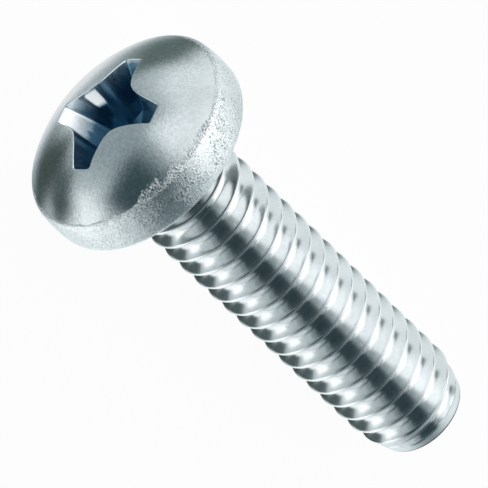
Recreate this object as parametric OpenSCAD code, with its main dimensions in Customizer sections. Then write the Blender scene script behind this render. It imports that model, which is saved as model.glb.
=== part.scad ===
// Pan head machine screw with a cross recess and a right-hand thread to the head.
// It lies on the floor (z = 0) on the rim of its head and on its last full thread crest.
// Sizes are in mm.

/* [Head] */
// widest diameter of the head
head_dia = 12.15; // [11.4:0.05:13]
// height of the head above its bearing face
head_height = 4.37; // [4.1:0.01:4.7]
// height of the ridge between the domed crown and the side band
ridge_height = 2.15; // [1.9:0.05:2.4]
// how much the ridge is smaller in diameter than the widest place
ridge_draw = 0.16; // [0.05:0.01:0.4]
// height of the widest place of the side band
belly_height = 1.1; // [0.8:0.05:1.4]
// how far the lower rim is rounded inwards
rim_round = 0.3; // [0.15:0.05:0.5]

/* [Cross recess] */
// span over two opposite wings, at the crown
wing_span = 6.7; // [5.6:0.1:7]
// radius at which the lobes between the wings come nearest to the centre
lobe_nose = 1.93; // [1.7:0.01:2]
// how fast a lobe opens out towards its wings
lobe_slope = 0.61; // [0.5:0.01:0.66]
// how blunt the nose of a lobe is
lobe_blunt = 0.65; // [0.4:0.05:1]
// depth of the recess from the top of the crown
recess_depth = 3.2; // [2.6:0.1:3.3]
// slant of the wing ends against the axis
wing_slant = 26.5; // [20:0.5:28]
// draft of the walls between the wings
wall_draft = 6; // [3:0.5:8]
// turn of the wings about the axis
recess_turn = 28.9; // [0:0.1:89]

/* [Thread] */
// outside diameter over the thread crests
thread_dia = 6.26; // [5.8:0.01:6.35]
// distance from one crest to the next
pitch = 1.27; // [1.1:0.01:1.4]
// depth of the thread
thread_depth = 0.75; // [0.55:0.01:0.78]
// angle between the two flanks
flank_angle = 60; // [55:1:60]
// distance of the first crest from the bearing face, on the upper side
first_crest = 1.228; // [0.9:0.01:1.6]
// turns over which the groove grows to its full depth below the head
start_turns = 0.8; // [0.5:0.1:1.2]
// turns over which the groove fades out at the end
fade_turns = 0.9; // [0.5:0.1:1.2]

/* [Shank] */
// length from the bearing face to the end
shank_length = 24.6; // [16:0.1:32]
// length of the plain neck below the head
neck_length = 0.7; // [0.5:0.05:1]
// how far the fillet below the head reaches beyond the thread crests
fillet_play = 0.05; // [0.02:0.01:0.2]
// length of the slim cone at the end
point_length = 2; // [1.2:0.1:2.6]
// how much smaller the end is in diameter than the thread
point_draw = 1.06; // [0.6:0.02:1.3]
// chamfer at the very end
end_chamfer = 0.12; // [0.05:0.01:0.2]

/* [Hidden] */
$fa = 3;
$fs = 0.2;

head_r = head_dia / 2;
ridge_r = head_r - ridge_draw / 2;
crown_rise = head_height - ridge_height;
crown_r = (pow(ridge_r, 2) + pow(crown_rise, 2)) / (2 * crown_rise);
belly_steps = 6;
rim_steps = 5;
rim_height = belly_height / 2;

thread_r = thread_dia / 2;
root_r = thread_r - thread_depth;
neck_r = thread_r - thread_depth / 2;
neck_fillet = thread_r - neck_r + fillet_play;
point_r = thread_r - point_draw / 2;

lobe_reach = wing_span / 2 * 0.72;      // half the width of a lobe, just beyond the wing ends
lobe_points = 5;
cutter_over = 0.3;                      // how far a cutter stands proud of what it cuts
wing_end_height = crown_height(wing_span / 2);
recess_floor = head_height - recess_depth;

crest_flat = 0.1 * pitch;
groove_flank = thread_depth * tan(flank_angle / 2);
root_flat = pitch - crest_flat - 2 * groove_flank;
groove_over = 0.06;
turn_steps = 30;
groove_lift = thread_depth + 2 * groove_over;
first_groove = first_crest - pitch / 2;
turns_in = (neck_length - first_groove) / pitch;
turns_out = (shank_length - 0.2 * pitch - first_groove) / pitch;
groove_steps = ceil((turns_out - turns_in) * turn_steps);

function crown_height(r) = head_height - crown_r + sqrt(pow(crown_r, 2) - pow(r, 2));

// radius of the side band at height z: fullest at the belly, smaller towards the ridge
function band_r(z) = head_r - ridge_draw / 2 * pow((z - belly_height) / (ridge_height - belly_height), 2);

band_points = [for (i = [0 : belly_steps])
    let (z = rim_height + (ridge_height - rim_height) * i / belly_steps) [band_r(z), z]];
rim_points = [for (i = [0 : rim_steps - 1])
    let (a = 90 * i / rim_steps)
    [band_r(rim_height) - rim_round * (1 - sin(a)), rim_height * (1 - cos(a))]];

// the lower rim of the head and the last crest of full size on the underside carry the screw
last_full = shank_length - point_length;
low_crest = first_crest + pitch / 2 + pitch * floor((last_full - first_crest - pitch / 2) / pitch)
    + crest_flat / 2;
side_points = concat(rim_points, band_points);
tilt = max([for (p = side_points) atan((p[0] - thread_r) / (low_crest + p[1]))]);
lift = max([for (p = side_points) p[0] * cos(tilt) - p[1] * sin(tilt)]);
nose_side = lobe_nose * cos(recess_turn + 135) * sin(tilt);
x_head = nose_side - crown_height(lobe_nose) * cos(tilt);
x_end = shank_length * cos(tilt) + (point_r - end_chamfer) * sin(tilt);
slide = -(x_head + x_end) / 2;

// one point of a lobe, at distance v to the side of its middle line
function lobe_point(v, turn) =
    let (u = lobe_nose + lobe_slope * (sqrt(v * v + lobe_blunt * lobe_blunt) - lobe_blunt))
    [u * cos(turn) - v * sin(turn), u * sin(turn) + v * cos(turn)];

// one corner of the groove: radius r, w along the axis from the groove's middle, after t turns
function groove_point(r, w, t) =
    [r * cos(360 * t), -r * sin(360 * t), -(first_groove + pitch * t) + w];

// how far the groove is lifted out of the shank at its two ends
function groove_rise(t) =
    groove_lift * max(0, 1 - (t - turns_in) / start_turns, 1 - (turns_out - t) / fade_turns);

function groove_section(t) =
    let (up = groove_rise(t),
         inner = root_r + up,
         outer = thread_r + groove_over + up,
         half = root_flat / 2,
         wide = half + (outer - inner) * tan(flank_angle / 2))
    [groove_point(inner, half, t), groove_point(inner, -half, t),
     groove_point(outer, -wide, t), groove_point(outer, wide, t)];

module head_blank() {
    rotate_extrude()
        intersection() {
            translate([0, head_height - crown_r]) circle(r = crown_r);
            polygon(concat([[0, 0]], rim_points, band_points,
                [[ridge_r, head_height + cutter_over], [0, head_height + cutter_over]]));
        }
}

module recess_cutter() {
    top = head_height + cutter_over;
    deep = top - recess_floor;
    small = 1 - deep * tan(wall_draft) / lobe_nose;
    wide = lobe_nose + (top - head_height) * tan(wall_draft);
    grow = wide / lobe_nose;
    cross = [for (k = [0 : 3]) for (j = [-lobe_points : lobe_points])
        grow * lobe_point(lobe_reach * j / lobe_points, 45 + 90 * k)];
    end_top = wing_span / 2 + (top - wing_end_height) * tan(wing_slant);
    end_low = end_top - deep * tan(wing_slant);
    rotate([0, 0, recess_turn])
        intersection() {
            translate([0, 0, top]) mirror([0, 0, 1])
                linear_extrude(height = deep, scale = small) polygon(cross);
            translate([0, 0, recess_floor]) rotate([0, 0, 45])
                cylinder(h = deep + cutter_over, r1 = end_low * sqrt(2),
                    r2 = (end_top + cutter_over * tan(wing_slant)) * sqrt(2), $fn = 4);
        }
}

module shank_blank() {
    rotate_extrude()
        polygon([
            [0, cutter_over], [neck_r, cutter_over], [neck_r, -neck_length],
            [thread_r, -neck_length - (thread_r - neck_r)], [thread_r, -last_full],
            [point_r, -shank_length + end_chamfer], [point_r - end_chamfer, -shank_length],
            [0, -shank_length]]);
}

module neck_round() {
    rotate_extrude()
        difference() {
            translate([neck_r - cutter_over, -neck_fillet])
                square([neck_fillet + cutter_over, neck_fillet + cutter_over]);
            translate([neck_r + neck_fillet, -neck_fillet]) circle(r = neck_fillet);
        }
}

module thread_groove() {
    rings = [for (i = [0 : groove_steps])
        groove_section(turns_in + (turns_out - turns_in) * i / groove_steps)];
    points = [for (ring = rings) for (p = ring) p];
    last = 4 * groove_steps;
    sides = [for (i = [0 : groove_steps - 1]) for (j = [0 : 3])
        let (a = 4 * i + j, b = 4 * i + (j + 1) % 4)
        each [[a, a + 4, b + 4], [a, b + 4, b]]];
    polyhedron(points, concat([[0, 1, 2, 3]], sides, [[last + 3, last + 2, last + 1, last]]));
}

module screw() {
    color("silver")
        translate([slide, 0, lift]) rotate([0, tilt - 90, 0])
            difference() {
                union() {
                    head_blank();
                    neck_round();
                    shank_blank();
                }
                recess_cutter();
                thread_groove();
            }
}

screw();
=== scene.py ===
import math
import bpy
from mathutils import Matrix, Vector


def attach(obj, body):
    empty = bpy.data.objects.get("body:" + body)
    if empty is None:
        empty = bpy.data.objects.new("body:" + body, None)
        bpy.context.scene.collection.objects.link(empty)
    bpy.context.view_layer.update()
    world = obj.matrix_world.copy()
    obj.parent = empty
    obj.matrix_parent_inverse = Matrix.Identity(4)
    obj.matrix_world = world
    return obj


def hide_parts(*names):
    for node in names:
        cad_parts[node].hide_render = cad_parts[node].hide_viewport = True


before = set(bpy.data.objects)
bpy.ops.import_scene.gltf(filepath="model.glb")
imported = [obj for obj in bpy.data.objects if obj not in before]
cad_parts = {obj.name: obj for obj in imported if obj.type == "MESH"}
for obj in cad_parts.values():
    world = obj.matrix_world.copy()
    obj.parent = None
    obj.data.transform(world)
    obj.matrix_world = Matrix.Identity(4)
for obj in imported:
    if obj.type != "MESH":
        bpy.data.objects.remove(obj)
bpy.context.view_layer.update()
print("frame loaded:", list(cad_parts))

# everything below is worked out in mm on the screw's own axis: z = 0 is the face under the head,
# the crown is above it, the end is below it, and +x is the side that ends up on top
headSizes = {
    "radius": 6.075,        # widest place of the side band
    "height": 4.37,
    "ridgeHeight": 2.15,    # where the side band meets the crown
    "ridgeDraw": 0.08,      # how far the ridge stands inside the widest place
    "bellyHeight": 1.1,     # where the side band is widest
    "rimRound": 0.3,        # of the edge round the bearing face
    "ridgeRound": 0.13,     # softness of the ridge
    "rimSteps": 10,
    "bandSteps": 14,
    "ridgeSteps": 8,
    "crownSteps": 26,
}


def crownSphere():
    # radius of the sphere that the crown is part of
    r = headSizes["radius"] - headSizes["ridgeDraw"]
    rise = headSizes["height"] - headSizes["ridgeHeight"]
    return (r * r + rise * rise) / (2 * rise)


def crownHeight(r):
    # height of the crown at distance r from the axis
    big = crownSphere()
    return headSizes["height"] - big + math.sqrt(big * big - r * r)


lyingSizes = {
    "tilt": 7.3245,         # how far the end leans down, in degrees
    "lift": 5.9406,         # height of the middle of the bearing face
    "slide": -10.1738,      # and its place along the floor
}


def restPose():
    # the screw lies on the lower rim of its head and on its last full crest
    laid = Matrix.Rotation(math.radians(lyingSizes["tilt"] - 90), 4, "Y")
    placed = Matrix.Translation((lyingSizes["slide"], 0, lyingSizes["lift"])) @ laid
    return Matrix.Scale(0.001, 4) @ placed      # mm to metres


toFloor = restPose()


def towards(x, y, z):
    # a direction of the screw's own axes, in the scene
    return (toFloor.to_3x3() @ Vector((x, y, z))).normalized()


class Wire:
    # one socket, so that shader and geometry maths can be written as plain sums
    def __init__(self, bench, socket):
        self.bench, self.socket = bench, socket

    def math(self, operation, a, b=None):
        sockets = {0: a} if b is None else {0: a, 1: b}
        return self.bench.add("ShaderNodeMath", {"operation": operation}, sockets)

    def __add__(self, other): return self.math("ADD", self, other)
    def __radd__(self, other): return self.math("ADD", other, self)
    def __sub__(self, other): return self.math("SUBTRACT", self, other)
    def __rsub__(self, other): return self.math("SUBTRACT", other, self)
    def __mul__(self, other): return self.math("MULTIPLY", self, other)
    def __rmul__(self, other): return self.math("MULTIPLY", other, self)
    def __truediv__(self, other): return self.math("DIVIDE", self, other)
    def __rtruediv__(self, other): return self.math("DIVIDE", other, self)
    def __neg__(self): return self.math("MULTIPLY", self, -1.0)
    def __gt__(self, other): return self.math("GREATER_THAN", self, other)
    def least(self, other): return self.math("MINIMUM", self, other)
    def most(self, other): return self.math("MAXIMUM", self, other)
    def size(self): return self.math("ABSOLUTE", self)
    def root(self): return self.math("SQRT", self)
    def sine(self): return self.math("SINE", self)
    def cosine(self): return self.math("COSINE", self)


class Bench:
    # puts nodes into one tree
    def __init__(self, tree):
        self.tree = tree

    def add(self, kind, settings=None, sockets=None, out=0):
        node = self.tree.nodes.new(kind)
        for name, value in (settings or {}).items():
            setattr(node, name, value)
        for key, value in (sockets or {}).items():
            socket = node.inputs[key]
            if isinstance(value, Wire):
                self.tree.links.new(value.socket, socket)
            else:
                socket.default_value = value
        return Wire(self, node.outputs[out])

    def blend(self, low, high, value, toLow=0.0, toHigh=1.0):
        # a smooth step from toLow at low to toHigh at high
        return self.add("ShaderNodeMapRange", {"interpolation_type": "SMOOTHSTEP"},
                        {"Value": value, "From Min": low, "From Max": high,
                         "To Min": toLow, "To Max": toHigh})

    def mix(self, amount, a, b):
        return self.add("ShaderNodeMix", {"data_type": "RGBA"}, {0: amount, 6: a, 7: b}, out=2)

    def dot(self, a, b):
        return self.add("ShaderNodeVectorMath", {"operation": "DOT_PRODUCT"}, {0: a, 1: b}, out="Value")

    def smoothMost(self, a, b, softness):
        return self.add("ShaderNodeMath", {"operation": "SMOOTH_MAX"}, {0: a, 1: b, 2: softness})

    def smoothLeast(self, a, b, softness):
        return self.add("ShaderNodeMath", {"operation": "SMOOTH_MIN"}, {0: a, 1: b, 2: softness})


recessSizes = {
    "span": 6.7,            # over two wings
    "nose": 1.93,           # nearest place of a lobe to the middle
    "slope": 0.61,          # how fast a lobe opens out towards the wings
    "blunt": 0.65,          # how blunt its nose is
    "depth": 3.2,           # below the top of the crown
    "floorDip": 0.3,        # how far the floor falls to its middle
    "slant": 26.5,          # wing ends against the axis, in degrees
    "draft": 6.0,           # of the walls between the wings
    "draftFrom": 0.3,       # height above the crown at which the walls begin
    "turn": 28.9,           # of the wings about the axis, in degrees
    "corner": 0.13,         # rounding of the wing corners
    "lip": 0.05,            # rounding of the recess edge
    "endLip": 0.05,         # what it grows by at the ends of the wings
    "noseFlat": (0.04, 0.36, 0.42, 0.36),   # flat on a lobe with a painted highlight: depth from, to, place, half width
    "flatLobe": 1,
    "wornWing": 1,          # wing end that gets a painted highlight
    "lobeSteps": 34,
    "cornerSteps": 5,
    "endSteps": 5,
    "lipSteps": 5,
    "wallSteps": 14,
}


def lobeReach(z):
    # scale of the lobe outline at height z, from the draft of its walls
    over = recessSizes["draftFrom"]
    top = headSizes["height"] + over
    fall = math.tan(math.radians(recessSizes["draft"])) / recessSizes["nose"]
    return (1 + over * fall) * (1 - (top - z) * fall)


def wingReach(z):
    # distance of a wing's end from the axis at height z
    half = recessSizes["span"] / 2
    return half - (crownHeight(half) - z) * math.tan(math.radians(recessSizes["slant"]))


def lobeShape(v, z):
    # a point of a lobe, at distance v to the side of its middle line
    r = recessSizes
    scale = lobeReach(z)
    u = r["nose"] + r["slope"] * (math.sqrt(v * v + r["blunt"] ** 2) - r["blunt"])
    return Vector((scale * u, scale * v))


def lobeEdge(z):
    # how far a lobe runs to each side before the wing's end cuts it
    goal = wingReach(z) * math.sqrt(2)
    low, high = 0.0, 4.0
    for _ in range(40):
        mid = (low + high) / 2
        p = lobeShape(mid, z)
        low, high = (mid, high) if p.x + p.y < goal else (low, mid)
    return low


def turned(p, degrees):
    # a point turned about the axis
    a = math.radians(degrees)
    return Vector((p.x * math.cos(a) - p.y * math.sin(a), p.x * math.sin(a) + p.y * math.cos(a)))


def recessOutline(z):
    # four lobes and four wing ends, always with the same count of points
    r = recessSizes
    lobeSteps, cornerSteps, endSteps = r["lobeSteps"], r["cornerSteps"], r["endSteps"]
    edge = lobeEdge(z)
    trim = edge - r["corner"]
    points = []
    for k in range(4):
        turn = r["turn"] + 45 + 90 * k
        for i in range(lobeSteps + 1):
            v = trim * (2 * i / lobeSteps - 1)
            points.append(turned(lobeShape(v, z), turn))
        a = turned(lobeShape(edge, z), turn)
        b = turned(lobeShape(-edge, z), turn + 90)
        before = points[-1]
        along = (b - a).normalized()
        cut = min(r["corner"], (b - a).length * 0.35)
        inside, outside = a + along * cut, b - along * cut
        after = turned(lobeShape(-trim, z), turn + 90)
        for start, knee, stop in ((before, a, inside), (outside, b, after)):
            for i in range(1, cornerSteps):
                t = i / cornerSteps
                points.append(start * (1 - t) ** 2 + knee * 2 * t * (1 - t) + stop * t * t)
            if stop is inside:
                for i in range(endSteps + 1):
                    points.append(inside.lerp(outside, i / endSteps))
    return points


def lobeSides():
    # how far each point of recessOutline stands to the side of its lobe, and None on a wing end
    r = recessSizes
    edge = lobeEdge(crownHeight(r["span"] / 2)) - r["corner"]
    lobe = [edge * (2 * i / r["lobeSteps"] - 1) for i in range(r["lobeSteps"] + 1)]
    return (lobe + [None] * (2 * (r["cornerSteps"] - 1) + r["endSteps"] + 1)) * 4


def smooth(low, high, value):
    # a smooth step from 0 at low to 1 at high
    t = min(1.0, max(0.0, (value - low) / (high - low)))
    return t * t * (3 - 2 * t)


def outwards(points):
    # the direction away from the recess at each point of its outline
    count = len(points)
    normals = []
    for i in range(count):
        d = points[(i + 1) % count] - points[i - 1]
        normals.append(Vector((d.y, -d.x)).normalized())
    return normals


def bandProfile():
    # the revolved outline from the bearing face to the crown, as (radius, height, grain)
    h = headSizes
    rimHeight = h["bellyHeight"] / 2

    def bandRadius(z):
        part = (z - h["bellyHeight"]) / (h["ridgeHeight"] - h["bellyHeight"])
        return h["radius"] - h["ridgeDraw"] * part ** 2

    # a shallow dip beside the neck leaves the edge of its fillet clear
    line = [(r, 0.03 * (r < 3.2), 0.0) for r in (1.5, 3.0, 3.4, 4.2, 5.0, 5.5)]
    for i in range(h["rimSteps"] + 1):
        a = math.radians(90 * i / h["rimSteps"])
        line.append((bandRadius(rimHeight) - h["rimRound"] * (1 - math.sin(a)),
                     rimHeight * (1 - math.cos(a)), 0.35 + 0.65 * i / h["rimSteps"]))
    bandTop = h["ridgeHeight"] - h["ridgeRound"]
    for i in range(1, h["bandSteps"] + 1):
        z = rimHeight + (bandTop - rimHeight) * i / h["bandSteps"]
        line.append((bandRadius(z), z, 1.0))
    # the ridge is a curve from the band over the sharp corner to the crown
    cornerR, cornerZ = bandRadius(h["ridgeHeight"]), h["ridgeHeight"]
    r0, z0, _ = line[-1]
    r1 = cornerR - h["ridgeRound"] * 0.85
    z1 = crownHeight(r1)
    for i in range(1, h["ridgeSteps"] + 1):
        t = i / h["ridgeSteps"]
        r = r0 * (1 - t) ** 2 + cornerR * 2 * t * (1 - t) + r1 * t * t
        z = z0 * (1 - t) ** 2 + cornerZ * 2 * t * (1 - t) + z1 * t * t
        line.append((r, z, 1.0 - 0.55 * smooth(0.1, 0.9, t)))
    return line


headWear = {
    "grainOver": 0.05,      # how far the grain of the band reaches over the ridge
    "grainMore": 0.60,      # and how much farther on its wide side
    # direction round the axis in degrees, and the cosines of the turn away from it at which
    # the mark begins and is full
    "wideSide": (4, 0.78, 1.0),
    "coarseSide": (12, 0.62, 0.95),
    # this side gets painted shade beside the ridge
    "hazeSide": (-62, 0.75, 0.97),
    # this side gets a painted highlight, lighter and rougher, near the ridge
    "frostSide": (38, 0.80, 0.98),
    "underShadeFade": (4.1, 5.9),    # radii between which the painted shade on the bearing face fades to a quarter
}


def buildHead():
    r, wear = recessSizes, headWear
    floorHeight = headSizes["height"] - r["depth"]
    # the edge of the recess lies on the crown, so its height varies along it and is found in steps
    edge = recessOutline(headSizes["height"] - 0.4)
    for _ in range(3):
        edge = [recessOutline(crownHeight(p.length))[i] for i, p in enumerate(edge)]
    count = len(edge)
    heights = [crownHeight(p.length) for p in edge]
    normals = outwards(edge)
    lips = [r["lip"] + r["endLip"] * max(0.0, (p.length - r["span"] / 2 + 0.5) / 0.5) ** 2 for p in edge]
    lipRing = [p + n * lip for p, n, lip in zip(edge, normals, lips)]
    angles = [math.atan2(p.y, p.x) for p in lipRing]

    sides = lobeSides()
    quarters = [j // (count // 4) for j in range(count)]
    wing = [side is None for side in sides]
    worn = [wing[j] and quarters[j] == r["wornWing"] for j in range(count)]
    flatLobe = [not wing[j] and quarters[j] == r["flatLobe"] for j in range(count)]

    rings = []
    marks = {name: [] for name in ("grain", "coarse", "haze", "frost", "satin", "recess", "nose", "worn")}

    def ring(points, **given):
        rings.append(points)
        for name in marks:
            value = given.get(name, 1.0 if name == "satin" else 0.0)
            marks[name].extend(value if isinstance(value, list) else [value] * count)

    def facing(side):
        # how far each point turns towards one side of the head
        degrees, low, high = wear[side]
        return [smooth(low, high, math.cos(a - math.radians(degrees))) for a in angles]

    # side band, from the bearing face over the ridge
    coarse, haze, frost = facing("coarseSide"), facing("hazeSide"), facing("frostSide")
    wide = [wear["grainOver"] + wear["grainMore"] * side for side in facing("wideSide")]
    profile = bandProfile()
    for radius, z, grain in profile:
        ring([(radius * math.cos(a), radius * math.sin(a), z) for a in angles],
             grain=grain, coarse=[side * smooth(0.2, 0.9, z) for side in coarse])

    # crown, from the ridge to the lip of the recess, in rings that are wider apart near the ridge
    outer = profile[-1][0]
    for i in range(1, headSizes["crownSteps"] + 1):
        t = 1 - (1 - i / headSizes["crownSteps"]) ** 1.35
        radii = [outer * (1 - t) + p.length * t for p in lipRing]
        near = [max(0.0, 1 - (outer - radius) / w) for radius, w in zip(radii, wide)]
        ring([(radius * math.cos(a), radius * math.sin(a), crownHeight(radius))
              for radius, a in zip(radii, angles)],
             grain=[0.45 * n for n in near],
             coarse=[side * min(1.0, 1.5 * n) for side, n in zip(coarse, near)],
             haze=[side * smooth(4.5, 5.2, radius) for side, radius in zip(haze, radii)],
             frost=[side * smooth(4.7, 5.5, radius) for side, radius in zip(frost, radii)])

    # rounded lip
    for i in range(1, r["lipSteps"] + 1):
        q = math.radians(90 * i / r["lipSteps"])
        points = []
        for p, n, lip in zip(edge, normals, lips):
            spot = p + n * lip * (1 - math.sin(q))
            points.append((spot.x, spot.y, crownHeight(spot.length) - lip * (1 - math.cos(q))))
        ring(points, recess=0.12 * i / r["lipSteps"])

    # walls: painted shade darkens the wing ends from the edge on, but for the one with the painted highlight
    top, low, place, half = r["noseFlat"]
    outlines = {}
    for i in range(1, r["wallSteps"] + 1):
        t = i / r["wallSteps"]
        points = []
        for j, high in enumerate(heights):
            z = round((high - lips[j]) * (1 - t) + floorHeight * t, 3)
            if z not in outlines:
                outlines[z] = recessOutline(z)
            points.append((outlines[z][j].x, outlines[z][j].y, z))
        onFlat = smooth(top - 0.02, top + 0.02, t) * smooth(low + 0.03, low - 0.03, t)
        nose = [onFlat * smooth(half + 0.05, half - 0.05, abs(sides[j] - place)) if flatLobe[j] else 0.0
                for j in range(count)]
        # painted shade that darkens the wing ends from their top edge
        wingEndShade = smooth(0.0, 0.08, t) * 0.55
        depths = [0.12 + 0.88 * max(t, wingEndShade * (wing[j] and not worn[j])) for j in range(count)]
        # painted highlight down one wing end and on the upper walls of the flat lobe
        highlightAmount = [smooth(0.95, 0.25, t) if worn[j] else 0.45 * smooth(0.7, 0.1, t) * flatLobe[j]
                for j in range(count)]
        ring(points, recess=depths, nose=nose, worn=highlightAmount)

    # floor
    foot = rings[-1]
    for t in (0.94, 0.8, 0.6, 0.4, 0.2):
        ring([(x * t, y * t, z - r["floorDip"] * (1 - t)) for x, y, z in foot], recess=1.0)

    verts = [p for points in rings for p in points] + [(0, 0, 0), (0, 0, floorHeight - r["floorDip"])]
    faceMiddle, floorMiddle = len(verts) - 2, len(verts) - 1
    last = (len(rings) - 1) * count
    faces = [(i + j, i + (j + 1) % count, i + count + (j + 1) % count, i + count + j)
             for i in range(0, last, count) for j in range(count)]
    for j in range(count):
        faces.append((faceMiddle, (j + 1) % count, j))
        faces.append((floorMiddle, last + j, last + (j + 1) % count))
    mesh = bpy.data.meshes.new("screwHead")
    mesh.from_pydata(verts, [], faces)
    marks["recess"] += [0.0, 1.0]
    # painted shade on the bearing face, full beside the neck and fading towards the rim
    marks["under"] = [(1.0 - 0.75 * smooth(*wear["underShadeFade"], math.hypot(p[0], p[1]))) * (p[2] < 0.035)
                      for p in verts]
    for name, values in marks.items():
        values += [0.0] * (len(verts) - len(values))
        mesh.attributes.new(name, "FLOAT", "POINT").data.foreach_set("value", values)
    mesh.validate()
    return mesh


threadSizes = {
    "radius": 3.13,
    "pitch": 1.27,          # right-hand
    "depth": 0.75,
    "crestFlat": 0.05,      # width of the crest's top
    "crestRound": 0.05,     # softness of its edges
    "firstCrest": 1.228,    # below the bearing face, on the upper side
    "startTurns": 0.8,      # turns over which the groove gets deep
    "fadeTurns": 0.9,       # turns over which it fades out
    "endDown": 0.2,         # where it ends before the end face, in pitches
    "clearLift": 0.12,      # how far it is lifted clear of the shank there
    "length": 24.6,
    "neck": 0.7,
    "filletPlay": 0.05,     # how far the fillet reaches past the crests
    "intoHead": 0.35,       # how far the shank runs on inside the head
    "pointLength": 2.0,
    "pointDraw": 0.53,      # how much the cone narrows, on the radius
    "endChamfer": 0.12,
    "stepsPerTurn": 80,
    "stepsPerPitch": 28,
}


def threadTree(sizes):
    # a thread rolled into a round bar, with its neck, cone and end
    tree = bpy.data.node_groups.new("rolledThread", "GeometryNodeTree")
    for name, value in sizes.items():
        kind = "NodeSocketInt" if isinstance(value, int) else "NodeSocketFloat"
        tree.interface.new_socket(name, in_out="INPUT", socket_type=kind)
    tree.interface.new_socket("finish", in_out="INPUT", socket_type="NodeSocketMaterial")
    tree.interface.new_socket("Geometry", in_out="OUTPUT", socket_type="NodeSocketGeometry")
    b = Bench(tree)
    given = tree.nodes.new("NodeGroupInput")
    s = {socket.name: Wire(b, socket) for socket in given.outputs if socket.name}

    # a flat sheet: x counts the turns, y crosses one pitch from crest to crest
    sheet = b.add("GeometryNodeMeshGrid", None, {
        "Size X": 1.0, "Size Y": 1.0,
        "Vertices X": s["turns"] * s["stepsPerTurn"] + 1, "Vertices Y": s["stepsPerPitch"] + 1})
    place = b.add("GeometryNodeInputPosition")
    along = b.add("ShaderNodeSeparateXYZ", None, {0: place}, out="X") + 0.5
    across = b.add("ShaderNodeSeparateXYZ", None, {0: place}, out="Y") + 0.5
    turn = s["firstTurn"] + along * s["turns"]
    down = s["firstCrest"] + s["pitch"] * (turn + across)      # distance below the bearing face

    # drop from the crest: narrow crest, then a hollow flank that runs out into the round root
    fromCrest = s["pitch"] * (0.5 - (across - 0.5).size())
    part = (fromCrest - s["crestFlat"] / 2) / (s["pitch"] / 2 - s["crestFlat"] / 2)
    fall = s["depth"] * (part.most(0.0) * (math.pi / 2)).sine()
    fall = b.smoothMost(fall, 0.0, s["crestRound"])
    # the groove comes up out of the shank at both ends of the thread
    firstGroove = s["firstCrest"] - s["pitch"] / 2
    turnsHere = turn + 1.0
    turnsIn = (s["neck"] - firstGroove) / s["pitch"]
    turnsOut = (s["length"] - s["pitch"] * s["endDown"] - firstGroove) / s["pitch"]

    def riseAt(turns):
        up = (1.0 - (turns - turnsIn) / s["startTurns"]).most(1.0 - (turnsOut - turns) / s["fadeTurns"])
        return up.most(0.0) * (s["depth"] + s["clearLift"])

    # where two turns meet both take the lower rise, so that the seam closes
    rise = riseAt(turnsHere)
    onSeam = (across - 0.5).size() > 0.49
    rise = rise.least(riseAt(turnsHere + (across > 0.5) * 2.0 - 1.0) + (1.0 - onSeam) * 9.0)
    threadRadius = s["radius"] - b.smoothMost(fall - rise, 0.0, 0.03)

    # outline of the blank: cone and chamfer at the end, neck and fillet below the head
    coneStart = s["length"] - s["pointLength"]
    cone = s["radius"] - s["pointDraw"] * (down - coneStart) / (s["pointLength"] - s["endChamfer"])
    pointRadius = s["radius"] - s["pointDraw"]
    chamfer = pointRadius - (down - (s["length"] - s["endChamfer"]))
    blank = b.smoothLeast(s["radius"], cone, 0.05)
    blank = b.smoothLeast(blank, chamfer, 0.04)
    neckRadius = s["radius"] - s["depth"] / 2
    blank = b.smoothLeast(blank, neckRadius + (down - s["neck"]).most(0.0), 0.03)
    beyond = (down - s["length"]).most(0.0) / s["pitch"]
    faceRadius = (pointRadius - s["endChamfer"]) * (1.0 - beyond)
    past = down > s["length"]
    reach = threadRadius.least(blank)
    reach = (reach * (1.0 - past) + faceRadius * past).most(0.0)
    fillet = s["depth"] / 2 + s["filletPlay"]
    bend = (fillet - down).most(0.0).least(fillet)
    flare = neckRadius + fillet - (fillet * fillet - bend * bend).most(0.0).root()
    reach = reach.most(flare * (1.0 - (down > fillet)) * (1.0 - past))
    above = (-down).most(0.0) / s["pitch"]
    reach = (reach * (1.0 - above)).most(0.0)
    height = (-down).least(0.0).most(-s["length"]) + above.least(1.0) * s["intoHead"]

    angle = turn * (-2 * math.pi)
    spot = b.add("ShaderNodeCombineXYZ", None,
                 {"X": reach * angle.cosine(), "Y": reach * angle.sine(), "Z": height})
    # the marks for the finish and for the painted shade line round the end are kept before the sheet is wound,
    # because they read its flat place
    crestBand = b.blend(0.015, 0.055, s["radius"] - threadRadius, 1.0, 0.0) \
        * b.blend(0.2, 0.7, turnsHere - turnsIn) * (1.0 - past)
    # painted shade line round the end, just before the end face
    endLineShade = b.blend(0.23, 0.16, s["length"] - down) * b.blend(-0.06, -0.01, s["length"] - down)
    marked = sheet
    for name, field in (("crest", crestBand), ("rim", endLineShade)):
        marked = b.add("GeometryNodeStoreNamedAttribute", {"data_type": "FLOAT", "domain": "POINT"},
                       {"Geometry": marked, "Name": name, "Value": field})
    wound = b.add("GeometryNodeSetPosition", None, {"Geometry": marked, "Position": spot})
    joined = b.add("GeometryNodeMergeByDistance", None, {"Geometry": wound, "Distance": 0.0005})
    real = b.add("GeometryNodeRealizeInstances", None, {"Geometry": joined})
    dressed = b.add("GeometryNodeSetMaterial", None, {"Geometry": real, "Material": s["finish"]})
    leave = tree.nodes.new("NodeGroupOutput")
    tree.links.new(dressed.socket, leave.inputs["Geometry"])
    return tree


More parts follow.
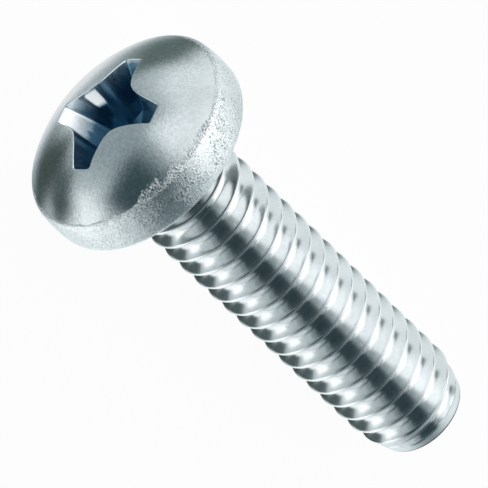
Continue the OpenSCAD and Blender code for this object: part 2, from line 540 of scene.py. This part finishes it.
def buildShank(material):
    t = threadSizes
    # the sheet starts above the bearing face and ends past the end face, where it closes to a point
    firstTurn = math.floor(-t["firstCrest"] / t["pitch"] - 2.2)
    lastTurn = math.ceil((t["length"] - t["firstCrest"]) / t["pitch"] + 1.2)
    sizes = dict(t, firstTurn=float(firstTurn), turns=float(lastTurn - firstTurn))
    tree = threadTree(sizes)
    holder = bpy.data.objects.new("threadHolder", bpy.data.meshes.new("threadHolder"))
    bpy.context.scene.collection.objects.link(holder)
    modifier = holder.modifiers.new("thread", "NODES")
    modifier.node_group = tree
    values = dict(sizes, finish=material)
    for item in tree.interface.items_tree:
        if item.in_out == "INPUT":
            modifier[item.identifier] = values[item.name]
    bpy.context.view_layer.update()
    mesh = bpy.data.meshes.new_from_object(holder.evaluated_get(bpy.context.evaluated_depsgraph_get()))
    bpy.data.objects.remove(holder)
    return mesh


platingLook = {
    "bright": (0.82, 0.835, 0.84, 1.0),
    "dull": (0.72, 0.745, 0.75, 1.0),
    "bloom": (0.88, 0.91, 0.92, 1.0),       # light grain of the satin crown
    "grain": (0.93, 0.95, 0.95, 1.0),       # sandblasted band round the head
    "speck": (0.36, 0.40, 0.41, 1.0),       # dark pits between its grains
    "spark": (0.99, 0.99, 0.99, 1.0),       # bright tops of its grains
    "pit": (0.16, 0.20, 0.21, 1.0),         # darker pits where the grain is coarse
    "smut": (0.56, 0.60, 0.61, 1.0),        # dull spots of the satin, grooves of the turned faces
    "haze": (0.50, 0.54, 0.55, 1.0),        # painted shade: a greyer cloud beside the ridge on one side of the crown
    "under": (0.10, 0.125, 0.135, 1.0),     # painted shade on the bearing face beside the neck
    "edge": (0.96, 0.97, 0.97, 1.0),        # rubbed bright on the crests; a painted highlight on the lobe flat and one wing end
    "paintedEndLine": (0.10, 0.13, 0.14, 1.0),     # painted shade line round the end
    "recessTop": (0.80, 0.84, 0.88, 1.0),
    # painted shade: blue-grey that deepens down the recess
    "recessDeepShade": (0.19, 0.34, 0.45, 1.0),
    "roughness": 0.12,
    "crownRoughness": 0.13,
    "grainRoughness": 0.22,
    "frostRoughness": 0.42,
    "edgeRoughness": 0.42,
    "underRoughness": 0.36,
    "noseRoughness": 0.30,
    "recessRougher": 0.08,
    "noseLean": (0.40, -0.49, 0.77),        # where the bright flat in the recess faces
    "satinBump": 0.0036,        # mm
    "threadBump": 0.0013,       # mm
    "grainBump": 0.040,         # mm
    "recessBump": 0.010,        # mm
    "turnedBump": 0.020,        # mm, on the end and under the head
}


def platingMaterial():
    look = platingLook
    material = bpy.data.materials.new("brightZincPlating")
    material.use_nodes = True
    tree = material.node_tree
    tree.nodes.clear()
    b = Bench(tree)
    # x, y and z are the screw's own, in mm
    place = b.add("ShaderNodeTexCoord", out="Object")
    place = b.add("ShaderNodeVectorMath", {"operation": "SUBTRACT"}, {0: place, 1: tuple(toFloor.translation)})
    x, y, z = [b.dot(place, tuple(towards(*axis))) * 1000.0 for axis in ((1, 0, 0), (0, 1, 0), (0, 0, 1))]
    mm = b.add("ShaderNodeCombineXYZ", None, {"X": x, "Y": y, "Z": z})
    mark = {name: b.add("ShaderNodeAttribute", {"attribute_name": name}, out="Fac")
            for name in ("grain", "coarse", "haze", "frost", "recess", "worn", "satin", "under",
                         "crest", "nose", "rim")}

    def noise(scale, detail=3.0, roughness=0.5, vector=mm):
        return b.add("ShaderNodeTexNoise", None,
                     {"Vector": vector, "Scale": scale, "Detail": detail, "Roughness": roughness})

    cloud = noise(0.5, 2.0)
    fine = noise(6.0, 3.0, 0.6)
    cells = noise(13.0, 1.0, 0.6)
    flakes = noise(9.0, 1.0, 0.5)
    sand = noise(24.0, 1.0, 0.6)
    # turned rings on the end and under the head, scratches of the punch down the walls of the recess
    fromAxis = (x * x + y * y).root()
    rings = b.add("ShaderNodeCombineXYZ", None, {"X": fromAxis * 7.0, "Y": x * 0.5, "Z": y * 0.5})
    turning = noise(1.0, 3.0, 0.6, rings)
    endFace = b.blend(0.04 - threadSizes["length"], 0.02 - threadSizes["length"], z)
    flatFace = (endFace + mark["under"]).least(1.0)
    around = b.add("ShaderNodeCombineXYZ", None,
                   {"X": x / fromAxis * 9.0, "Y": y / fromAxis * 9.0, "Z": z * 0.5})
    streaks = noise(1.0, 4.0, 0.7, around)

    colour = b.mix(b.blend(0.35, 0.66, cloud * 0.6 + fine * 0.4), look["dull"], look["bright"])
    colour = b.mix(b.blend(0.42, 0.66, sand) * mark["satin"] * 0.5, colour, look["bloom"])
    colour = b.mix(b.blend(0.60, 0.40, fine) * mark["satin"] * 0.40, colour, look["smut"])
    # painted shade beside the ridge on one side of the crown, mottled by noise
    colour = b.mix(mark["haze"] * b.blend(0.30, 0.60, cloud * 0.5 + fine * 0.5) * 0.9, colour, look["haze"])
    patchy = b.blend(0.38, 0.60, noise(1.3, 2.0))
    # painted highlight: a lighter, rougher patch near the ridge on one side of the crown
    colour = b.mix(mark["frost"] * (0.4 + patchy * 0.5), colour, look["grain"])
    # painted shade on the bearing face beside the neck, which its turned rings lighten less
    colour = b.mix(mark["under"], colour, look["under"])
    colour = b.mix(flatFace * b.blend(0.40, 0.62, turning) * (0.5 - mark["under"] * 0.38), colour, look["smut"])
    # grains, pits and sparks of the sandblasted band
    grainy = b.blend(0.36, 0.60, mark["grain"] * 0.72 + (cells + fine) * 0.30 + patchy * 0.12 - 0.14)
    colour = b.mix(grainy, colour, look["grain"])
    colour = b.mix(grainy * b.blend(0.46, 0.34, cells) * (0.50 + patchy * 0.45), colour, look["speck"])
    colour = b.mix(grainy * b.blend(0.56, 0.66, sand), colour, look["spark"])
    colour = b.mix(mark["coarse"] * b.blend(0.47, 0.38, flakes) * (0.15 + patchy * 0.55), colour, look["pit"])
    colour = b.mix(mark["coarse"] * b.blend(0.55, 0.62, flakes) * 0.6, colour, look["spark"])
    # walls of the recess: painted shade that deepens to blue-grey down them, and painted highlights in places
    inRecess = b.blend(0.02, 0.12, mark["recess"])
    deep = b.blend(0.16, 0.50, mark["recess"] + (streaks - 0.5) * 0.45)
    wall = b.mix(deep, look["recessTop"], look["recessDeepShade"])
    # painted highlight on one wing end and beside the flat lobe, streaked
    wall = b.mix(b.blend(0.30, 0.62, mark["worn"] + (streaks - 0.5) * 1.2), wall, look["edge"])
    colour = b.mix(inRecess, colour, wall)
    # painted highlight on the flat of one lobe
    colour = b.mix(mark["nose"], colour, look["edge"])
    colour = b.mix(mark["crest"], colour, look["edge"])
    # painted shade line round the end
    colour = b.mix(mark["rim"].least(1.0), colour, look["paintedEndLine"])

    base, crown = look["roughness"], look["crownRoughness"]
    rough = base + mark["satin"] * (crown - base) + fine * 0.05 \
        + grainy * (look["grainRoughness"] - crown) \
        + mark["frost"] * (look["frostRoughness"] - crown) \
        + mark["crest"] * (look["edgeRoughness"] - base) \
        + mark["nose"] * (look["noseRoughness"] - base) \
        + flatFace * (look["underRoughness"] - crown) \
        + inRecess * look["recessRougher"]
    onCrown = mark["satin"] * (1.0 - inRecess)
    height = fine * (look["threadBump"] + onCrown * look["satinBump"]) \
        + sand * onCrown * look["satinBump"] * 0.4 \
        + grainy * (cells * 0.6 + sand * 0.4) * (0.6 + patchy * 0.4) * look["grainBump"] \
        + inRecess * streaks * look["recessBump"] \
        + flatFace * turning * look["turnedBump"]
    bump = b.add("ShaderNodeBump", None, {"Strength": 1.0, "Distance": 0.001, "Height": height})
    # the flat on the lobe is pressed in at a slant
    leaning = b.add("ShaderNodeMix", {"data_type": "VECTOR"},
                    {0: mark["nose"], 4: bump, 5: tuple(towards(*look["noseLean"]))}, out=1)
    shader = b.add("ShaderNodeBsdfPrincipled", None,
                   {"Base Color": colour, "Metallic": 1.0, "Roughness": rough, "Normal": leaning})
    leave = tree.nodes.new("ShaderNodeOutputMaterial")
    tree.links.new(shader.socket, leave.inputs["Surface"])
    return material


plating = platingMaterial()
headMesh = buildHead()
headMesh.materials.append(plating)
shankMesh = buildShank(plating)
print("head:", len(headMesh.polygons), "faces; shank:", len(shankMesh.polygons), "faces")


def joinMeshes(name, meshes):
    # one object at the origin, with its place in its mesh
    pieces = []
    for i, mesh in enumerate(meshes):
        mesh.transform(toFloor)
        mesh.shade_smooth()
        mesh.set_sharp_from_angle(angle=math.radians(38))
        piece = bpy.data.objects.new(name if i == 0 else name + "_part", mesh)
        bpy.context.scene.collection.objects.link(piece)
        pieces.append(piece)
    with bpy.context.temp_override(active_object=pieces[0], selected_editable_objects=pieces,
                                   selected_objects=pieces, object=pieces[0]):
        bpy.ops.object.join()
    return pieces[0]


screw = joinMeshes("screw_body", [headMesh, shankMesh])
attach(screw, "root")
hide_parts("screw")
print("screw:", len(screw.data.polygons), "faces")

studio = {
    "floorSize": 0.6,           # metres
    "floorColour": (0.93, 0.94, 0.94, 1.0),
    "floorGlow": 0.96,          # share of plain white that the camera sees in the floor
    # the tent is described round the screw: lon turns about its side axis (0 above the screw,
    # 90 in front of the head, 270 behind the end), lat leans to its left side
    "middle": (0.315, 0.385, 0.405),    # level between the side lights
    "sides": (0.880, 0.955, 0.975),     # level of the side lights
    "sidesLean": (-4.0, 8, 56),         # lat of the middle, distance where they begin and are full
    # name: lon from, lon to, soft edge, lat from, lat to, soft edge, colour
    "cards": {
        "behind": (208, 330, 10, -39, 26, 8, (0.85, 0.94, 0.97)),
        "lowFront": (182, 235, 10, -8, 8, 6, (0.86, 0.89, 0.91)),
        "frontGlow": (143, 171, 8, -18, 4, 6, (0.78, 0.88, 0.91)),
        "frontLeft": (56, 100, 6, 8, 60, 5, (0.96, 1.02, 1.05)),
        "leftGlow": (98, 138, 8, 28, 52, 6, (0.87, 0.94, 0.96)),
        "keyFoot": (20, 68, 8, 14, 30, 4, (1.08, 1.13, 1.15)),
        "keyLight": (306, 428, 7, 24, 100, 6, (1.40, 1.45, 1.47)),
        "leftSpot": (84, 106, 5, 40, 56, 5, (0.23, 0.27, 0.27)),
        "leftGap": (90, 250, 10, 73, 110, 4, (0.34, 0.39, 0.40)),
        "lowLight": (84, 262, 7, -100, -51, 5, (1.10, 1.15, 1.17)),
        "lowLamp": (98, 126, 4, -60, -39, 3, (1.36, 1.40, 1.41)),
        "endLeft": (238, 266, 5, 33, 50, 4, (0.33, 0.38, 0.40)),
        "fillLow": (284, 436, 12, -90, -49, 6, (0.66, 0.74, 0.76)),
        "fillFoot": (300, 420, 20, -90, -66, 6, (0.84, 0.91, 0.93)),
        "fillEdge": (284, 440, 9, -49, -37, 5, (0.32, 0.38, 0.40)),
        "endDark": (263, 334, 9, -36, 5, 7, (0.10, 0.145, 0.16)),
        "overhead": (326, 424, 8, -37, 5, 6, (0.030, 0.054, 0.063)),
        "frontDark": (413, 457, 7, -39, -3, 7, (0.045, 0.078, 0.088)),
        "rightDark": (148, 189, 6, -33, -12, 6, (0.066, 0.090, 0.085)),
        "lowDark": (135, 161, 4, -48, -26, 5, (0.085, 0.115, 0.118)),
        "leftDark": (150, 192, 6, 13, 37, 7, (0.125, 0.170, 0.162)),
        "ridgeGrey": (44, 68, 6, 0, 9, 5, (0.33, 0.37, 0.38)),
        "topLeft": (258, 320, 10, 10, 35, 6, (0.74, 0.82, 0.84)),
    },
}


def floorMaterial():
    material = bpy.data.materials.new("paleTable")
    material.use_nodes = True
    tree = material.node_tree
    tree.nodes.clear()
    b = Bench(tree)
    seen = b.add("ShaderNodeLightPath", out="Is Camera Ray")
    gloss = b.add("ShaderNodeLightPath", out="Is Glossy Ray")
    clear = b.add("ShaderNodeLightPath", out="Is Transmission Ray")
    table = b.add("ShaderNodeBsdfDiffuse", None, {"Color": studio["floorColour"]})
    glow = b.add("ShaderNodeEmission", None, {"Color": (1.0, 1.0, 1.0, 1.0), "Strength": 1.0})
    share = (seen + gloss + clear).least(1.0) * studio["floorGlow"]
    both = b.add("ShaderNodeMixShader", None, {0: share, 1: table, 2: glow})
    leave = tree.nodes.new("ShaderNodeOutputMaterial")
    tree.links.new(both.socket, leave.inputs["Surface"])
    return material


def buildWorld():
    world = bpy.data.worlds.new("lightTent")
    world.use_nodes = True
    tree = world.node_tree
    tree.nodes.clear()
    b = Bench(tree)
    way = b.add("ShaderNodeTexCoord", out="Generated")
    way = b.add("ShaderNodeVectorMath", {"operation": "NORMALIZE"}, {0: way})
    lean = b.add("ShaderNodeMath", {"operation": "ARCSINE"}, {0: b.dot(way, tuple(towards(0, 1, 0)))})
    lean = lean * (180 / math.pi)
    level, begin, full = studio["sidesLean"]
    colour = b.mix(b.blend(begin, full, (lean - level).size()),
                   studio["middle"] + (1.0,), studio["sides"] + (1.0,))
    # each card lies over those before it
    for lonFrom, lonTo, lonSoft, latFrom, latTo, latSoft, shade in studio["cards"].values():
        middle = math.radians((lonFrom + lonTo) / 2)
        front = b.dot(way, tuple(towards(math.cos(middle), 0, math.sin(middle))))
        side = b.dot(way, tuple(towards(-math.sin(middle), 0, math.cos(middle))))
        turnAway = b.add("ShaderNodeMath", {"operation": "ARCTAN2"}, {0: side, 1: front})
        turnAway = turnAway.size() * (180 / math.pi)
        wide = (lonTo - lonFrom) / 2
        high = (latTo - latFrom) / 2
        away = (lean - (latFrom + latTo) / 2).size()
        mask = b.blend(wide - lonSoft, wide + lonSoft, turnAway, 1.0, 0.0) \
            * b.blend(high - latSoft, high + latSoft, away, 1.0, 0.0)
        colour = b.mix(mask, colour, shade + (1.0,))
    light = b.add("ShaderNodeBackground", None, {"Color": colour, "Strength": 1.0})
    leave = tree.nodes.new("ShaderNodeOutputWorld")
    tree.links.new(light.socket, leave.inputs["Surface"])
    bpy.context.scene.world = world


def buildFloor():
    half = studio["floorSize"] / 2
    mesh = bpy.data.meshes.new("table")
    corners = [(-half, -half, 0), (half, -half, 0), (half, half, 0), (-half, half, 0)]
    mesh.from_pydata(corners, [], [(0, 1, 2, 3)])
    mesh.materials.append(floorMaterial())
    table = bpy.data.objects.new("table", mesh)
    bpy.context.scene.collection.objects.link(table)
    table.visible_glossy = False        # the metal sees the tent below the table too


cameraSizes = {
    "lean": 53.21,          # angle between the screw's axis and the view, in degrees
    "roll": 43.47,          # turn of the picture, in degrees
    "pixelsPerMm": 19.526,  # at the middle of the bearing face
    "distance": 327.4,      # from there, in mm
    "origin": (150.18, 154.90),     # where the middle of the bearing face shows
    "frame": 488,
}


def buildCamera():
    c = cameraSizes
    lean, roll = math.radians(c["lean"]), math.radians(c["roll"])
    back = Vector((math.sin(lean), 0, math.cos(lean)))
    toTip = Vector((math.cos(lean), 0, -math.sin(lean)))
    sideways = Vector((0, 1, 0))
    right = toTip * math.cos(roll) + sideways * math.sin(roll)
    low = toTip * math.sin(roll) - sideways * math.cos(roll)
    half = c["frame"] / 2
    spot = right * (half - c["origin"][0]) / c["pixelsPerMm"] \
        + low * (half - c["origin"][1]) / c["pixelsPerMm"] + back * c["distance"]
    data = bpy.data.cameras.new("camera")
    data.sensor_width = 36.0
    data.lens = c["pixelsPerMm"] * c["distance"] / c["frame"] * data.sensor_width
    data.clip_start, data.clip_end = 0.01, 10.0     # metres
    camera = bpy.data.objects.new("camera", data)
    spin = toFloor.to_3x3().normalized()
    axes = Matrix((spin @ right, spin @ -low, spin @ back)).transposed()
    camera.matrix_world = Matrix.Translation(toFloor @ spot) @ axes.to_4x4()
    bpy.context.scene.collection.objects.link(camera)
    bpy.context.scene.camera = camera


buildFloor()
buildWorld()
buildCamera()
bpy.context.scene.view_settings.view_transform = "Standard"
print("studio ready")
